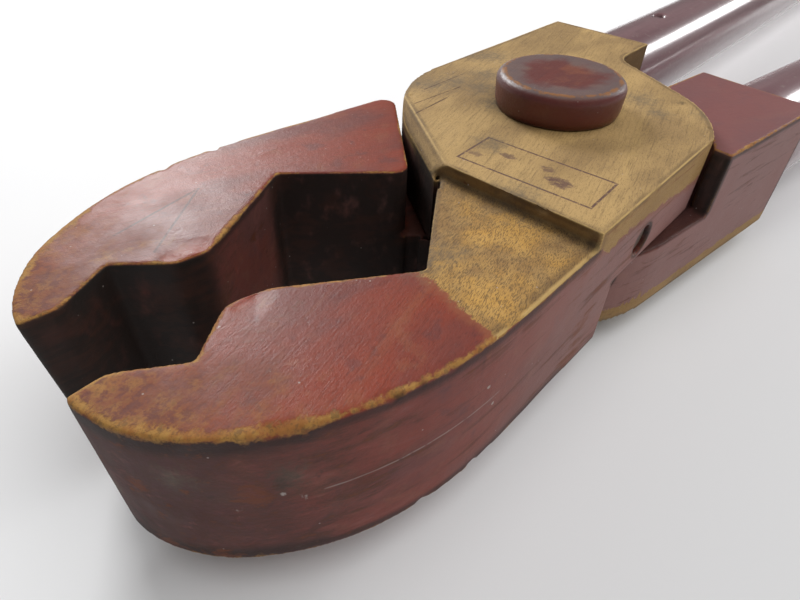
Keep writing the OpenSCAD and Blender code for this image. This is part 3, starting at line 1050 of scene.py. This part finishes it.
def tube_material():
    """Glossy varnish over thin purple-grey paint on the long tubes."""
    g = Graph("varnished_tube")
    p = g.attribute("lev", "Vector")
    along = g.noise(g.stretched(p, 0.10, 0.10, 0.008), 1.0, 3.0, 0.5, 0.3)
    fine = g.noise(g.stretched(p, 0.9, 0.9, 0.05), 1.0, 4.0, 0.6)
    mottle = g.noise(p, 0.35, 4.0, 0.65)
    color = g.mix(g.step(along, 0.30, 0.70), TUBE_PAINT, TUBE_LIGHT)
    color = g.mix(g.times(g.step(fine, 0.5, 0.75), 0.25), color, MAROON_DARK)
    color = g.mix(g.times(g.step(mottle, 0.58, 0.68), 0.25), color, DUST)
    rough = g.add(g.times(mottle, 0.20), 0.30)
    normal = g.bump(mottle, 0.00005, 0.20)
    return g.surface(color, rough, normal, coat_weight=1.0, coat_roughness=0.16)


def peg_material():
    """End grain and sides of the dark pegs."""
    g = Graph("bare_beech_peg")
    p = g.attribute("lev", "Vector")
    pores = g.noise(g.stretched(p, 3.5, 3.5, 0.3), 1.0, 3.0, 0.6)
    color = g.mix(g.step(pores, 0.4, 0.65), PEG_BROWN, PEG_DARK)
    normal = g.bump(pores, 0.0003, 0.6)
    return g.surface(color, 0.6, normal)


def floor_material():
    g = Graph("pale_floor")
    p = g.node("ShaderNodeTexCoord").outputs["Object"]
    tone = g.noise(p, 3.0, 2.0)
    color = g.mix(tone, FLOOR_COOL, FLOOR_PALE)
    normal = g.bump(g.noise(p, 900.0, 2.0), 0.0001, 0.1)
    return g.surface(color, 0.7, normal, specular_ior_level=0.2)


# ---------------------------------------------------------------- stage

def build_floor():
    """A plain pale floor under everything."""
    mesh = bpy.data.meshes.new("floor")
    half = 6.0
    corners = [(-half, -half, 0), (half, -half, 0), (half, half, 0), (-half, half, 0)]
    mesh.from_pydata(corners, [], [(0, 1, 2, 3)])
    obj = new_object("floor", mesh)
    obj.data.materials.append(floor_material())


def area_light(name, place_at, target, size, power, along=(0, 0, 1)):
    """A rectangular light aimed at the target, with its second side along the given direction."""
    light = bpy.data.lights.new(name, "AREA")
    light.shape = "RECTANGLE"
    light.size, light.size_y = size
    light.energy = power
    obj = bpy.data.objects.new(name, light)
    scene.collection.objects.link(obj)
    back = (Vector(place_at) - Vector(target)).normalized()
    across = Vector(along).cross(back).normalized()
    turn = Matrix((across, back.cross(across), back)).transposed()
    obj.matrix_world = Matrix.Translation(place_at) @ turn.to_4x4()
    return obj


def build_light():
    """A window beyond the tongs, a soft ceiling and a dim pale room, darker behind the camera."""
    area_light("window", (-0.29, -1.36, 0.88), (0, 0, 0.03), (0.50, 0.44), 17)
    area_light("strip", (-1.98, 0.31, 0.77), (-0.15, 0, 0.03), (0.30, 0.70), 6.4, (0.40, 0.38, 0.83))
    area_light("ceiling", (-0.55, 0.65, 1.75), (-0.10, 0, 0.03), (2.4, 2.4), 39).visible_glossy = False
    world = bpy.data.worlds.new("studio")
    world.use_nodes = True
    tree = world.node_tree
    way = tree.nodes.new("ShaderNodeTexCoord")
    facing = tree.nodes.new("ShaderNodeVectorMath")
    facing.operation = "DOT_PRODUCT"
    facing.inputs[1].default_value = ROOM_GLOW
    level = tree.nodes.new("ShaderNodeMapRange")
    level.interpolation_type = "SMOOTHSTEP"
    for name, value in (("From Min", 0.65), ("From Max", 1.0), ("To Min", 0.16), ("To Max", 0.50)):
        level.inputs[name].default_value = value
    tree.links.new(way.outputs["Generated"], facing.inputs[0])
    tree.links.new(facing.outputs["Value"], level.inputs["Value"])
    tree.links.new(level.outputs[0], tree.nodes["Background"].inputs["Strength"])
    tree.nodes["Background"].inputs["Color"].default_value = (1, 1, 1, 1)
    scene.world = world
    scene.view_settings.view_transform = "Standard"


def build_camera():
    """The camera close above the jaws, looking back along the tongs, rolled a little."""
    ahead = (Vector(CAMERA_TARGET) - Vector(CAMERA_AT)).normalized()
    level = ahead.cross(Vector((0, 0, 1))).normalized()
    right = Matrix.Rotation(-CAMERA_ROLL, 3, ahead) @ level
    up = right.cross(ahead).normalized()
    data = bpy.data.cameras.new("camera")
    data.sensor_width, data.lens = CAMERA_SENSOR, CAMERA_LENS
    data.clip_start = 0.005
    camera = bpy.data.objects.new("camera", data)
    scene.collection.objects.link(camera)
    turn = Matrix((right, up, -ahead)).transposed()
    camera.matrix_world = Matrix.Translation(CAMERA_AT) @ turn.to_4x4()
    scene.camera = camera


# ---------------------------------------------------------------- build

def build():
    build_camera()
    build_light()
    build_floor()
    paint = lever_material()
    turned = turned_material()
    tube = tube_material()
    peg = peg_material()
    for key in SIDES:
        build_lever(key, paint)
        build_tube(key, tube)
        build_end_plug(key, turned)
    build_pivot(turned)
    build_lower_head(turned)
    build_pegs(peg)


build()
